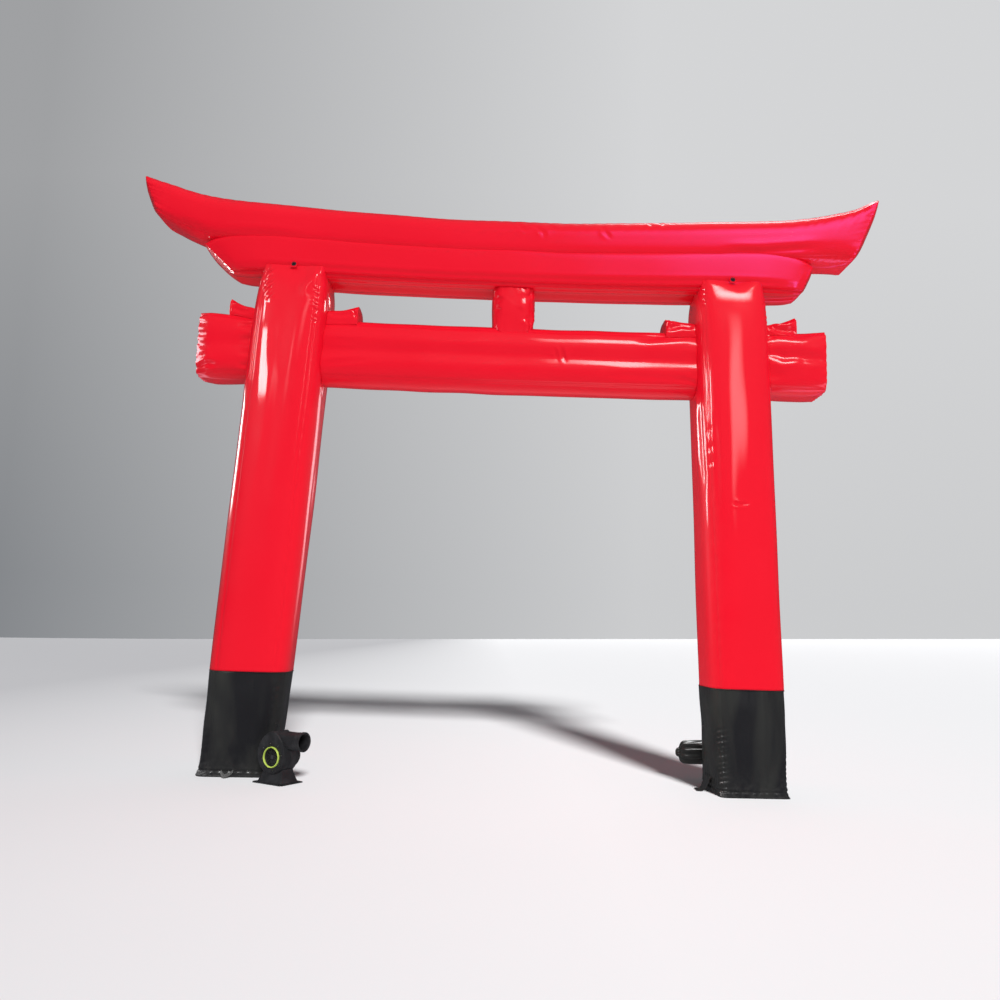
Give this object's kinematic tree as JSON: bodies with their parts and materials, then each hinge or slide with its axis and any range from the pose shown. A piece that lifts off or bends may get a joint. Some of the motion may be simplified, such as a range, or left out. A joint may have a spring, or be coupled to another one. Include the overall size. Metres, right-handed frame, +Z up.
{
  "type": "inflatable arch in gate form, with its blower",
  "caption": "Gate-form inflatable arch with upcurved top beam, lower beam, tie beam with outer ends, two leaning pillars on black feet, and a small scroll blower.",
  "frame": {"origin": "on the ground under the middle of the arch's bounding box", "axes": "+X along the width to the right seen from the front, +Y to the back, +Z up; the front looks towards -Y"},
  "size_m": [4.9002, 0.7901, 3.885],
  "materials": {
    "pvc_red": "gloss",
    "pvc_black": "gloss",
    "webbing_grey": "matte",
    "eyelet_steel": "satin",
    "housing_black": "satin",
    "ring_lime": "gloss"
  },
  "bodies": {
    "root": {"top_beam": "pvc_red", "lower_beam": "pvc_red", "pillar_left": "pvc_red", "pillar_right": "pvc_red", "tie_beam": "pvc_red", "tie_end_left": "pvc_red", "tie_end_right": "pvc_red", "wedge_left_outer": "pvc_red", "wedge_left_inner": "pvc_red", "wedge_right_inner": "pvc_red", "wedge_right_outer": "pvc_red", "centre_strut": "pvc_red", "eyelet_tab_left": "pvc_red", "eyelet_tab_right": "pvc_red", "foot_left": "pvc_black", "foot_right": "pvc_black", "inflation_sleeve": "pvc_black", "anchor_flap_right": "pvc_black", "anchor_loop_left": "webbing_grey", "eyelet_left": "eyelet_steel", "eyelet_right": "eyelet_steel", "blower_base": "housing_black", "blower_stand": "housing_black", "blower_housing": "housing_black", "blower_motor_cover": "housing_black", "blower_grille": "housing_black", "blower_ring": "ring_lime"}
  },
  "joints": []
}
